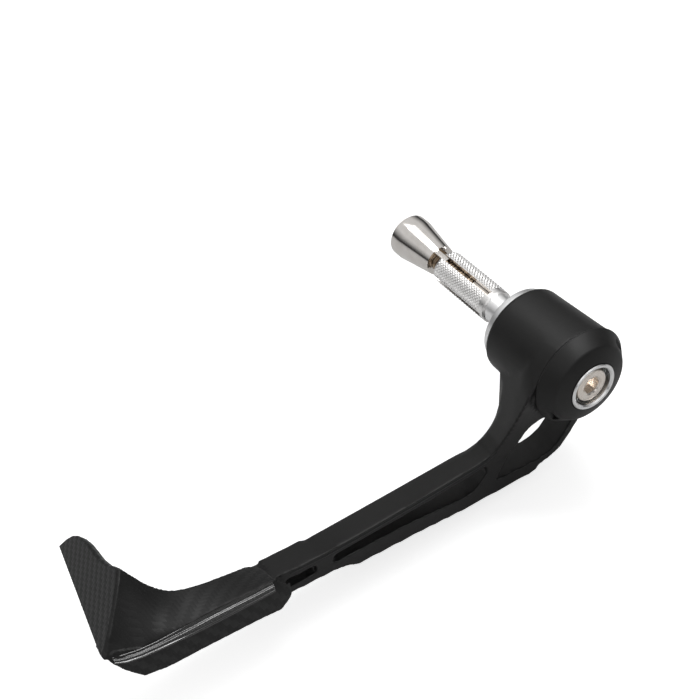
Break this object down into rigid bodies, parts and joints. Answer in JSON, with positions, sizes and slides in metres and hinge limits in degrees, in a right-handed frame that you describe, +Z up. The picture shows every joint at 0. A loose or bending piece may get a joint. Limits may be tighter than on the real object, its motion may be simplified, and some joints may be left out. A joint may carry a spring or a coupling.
{
  "type": "bar-end lever guard",
  "caption": "Handlebar-end guard: boss with split expander, slotted arm running forward and a carbon-look tip blade turned in front of the lever.",
  "frame": {"origin": "on the bar axis, in the plane where the seat disc meets the end of the handlebar", "axes": "+X along the bar axis and inboard, into the handlebar; +Y forward along the arm; +Z up, on the side that the smooth faces of the arm show"},
  "size_m": [0.1109, 0.2051, 0.0703],
  "materials": {
    "arm_nylon": "moulded, satin, fine grain",
    "cover_carbon": "printed twill weave under a matt lacquer",
    "cap_nylon": "moulded, satin",
    "ring_aluminium": "turned",
    "bolt_steel": "stainless",
    "seat_aluminium": "turned",
    "sleeve_aluminium": "diamond knurled",
    "cone_nickel": "bright nickel plate"
  },
  "bodies": {
    "expander": {"seat_disc": "seat_aluminium", "expander_sleeve": "sleeve_aluminium"},
    "guard": {"guard_arm": "arm_nylon", "tip_cover": "cover_carbon", "end_cap": "cap_nylon", "collar_ring": "ring_aluminium"},
    "bolt": {"clamp_bolt": "bolt_steel"},
    "wedge": {"wedge_cone": "cone_nickel"}
  },
  "joints": [
    {"name": "guard_swivel", "type": "hinge", "parent": "expander", "child": "guard", "pos_m": [0, 0, 0], "axis": [1, 0, 0], "continuous": true},
    {"name": "bolt_turn", "type": "hinge", "parent": "expander", "child": "bolt", "pos_m": [0, 0, 0], "axis": [1, 0, 0], "range_deg": [0, 1152]},
    {"name": "wedge_draw", "type": "slide", "parent": "expander", "child": "wedge", "axis": [-1, 0, 0], "range_m": [0, 0.004]}
  ],
  "couplings": [
    {"joint": "bolt_turn", "follows": "wedge_draw", "rad_per_m": 5026.5}
  ]
}
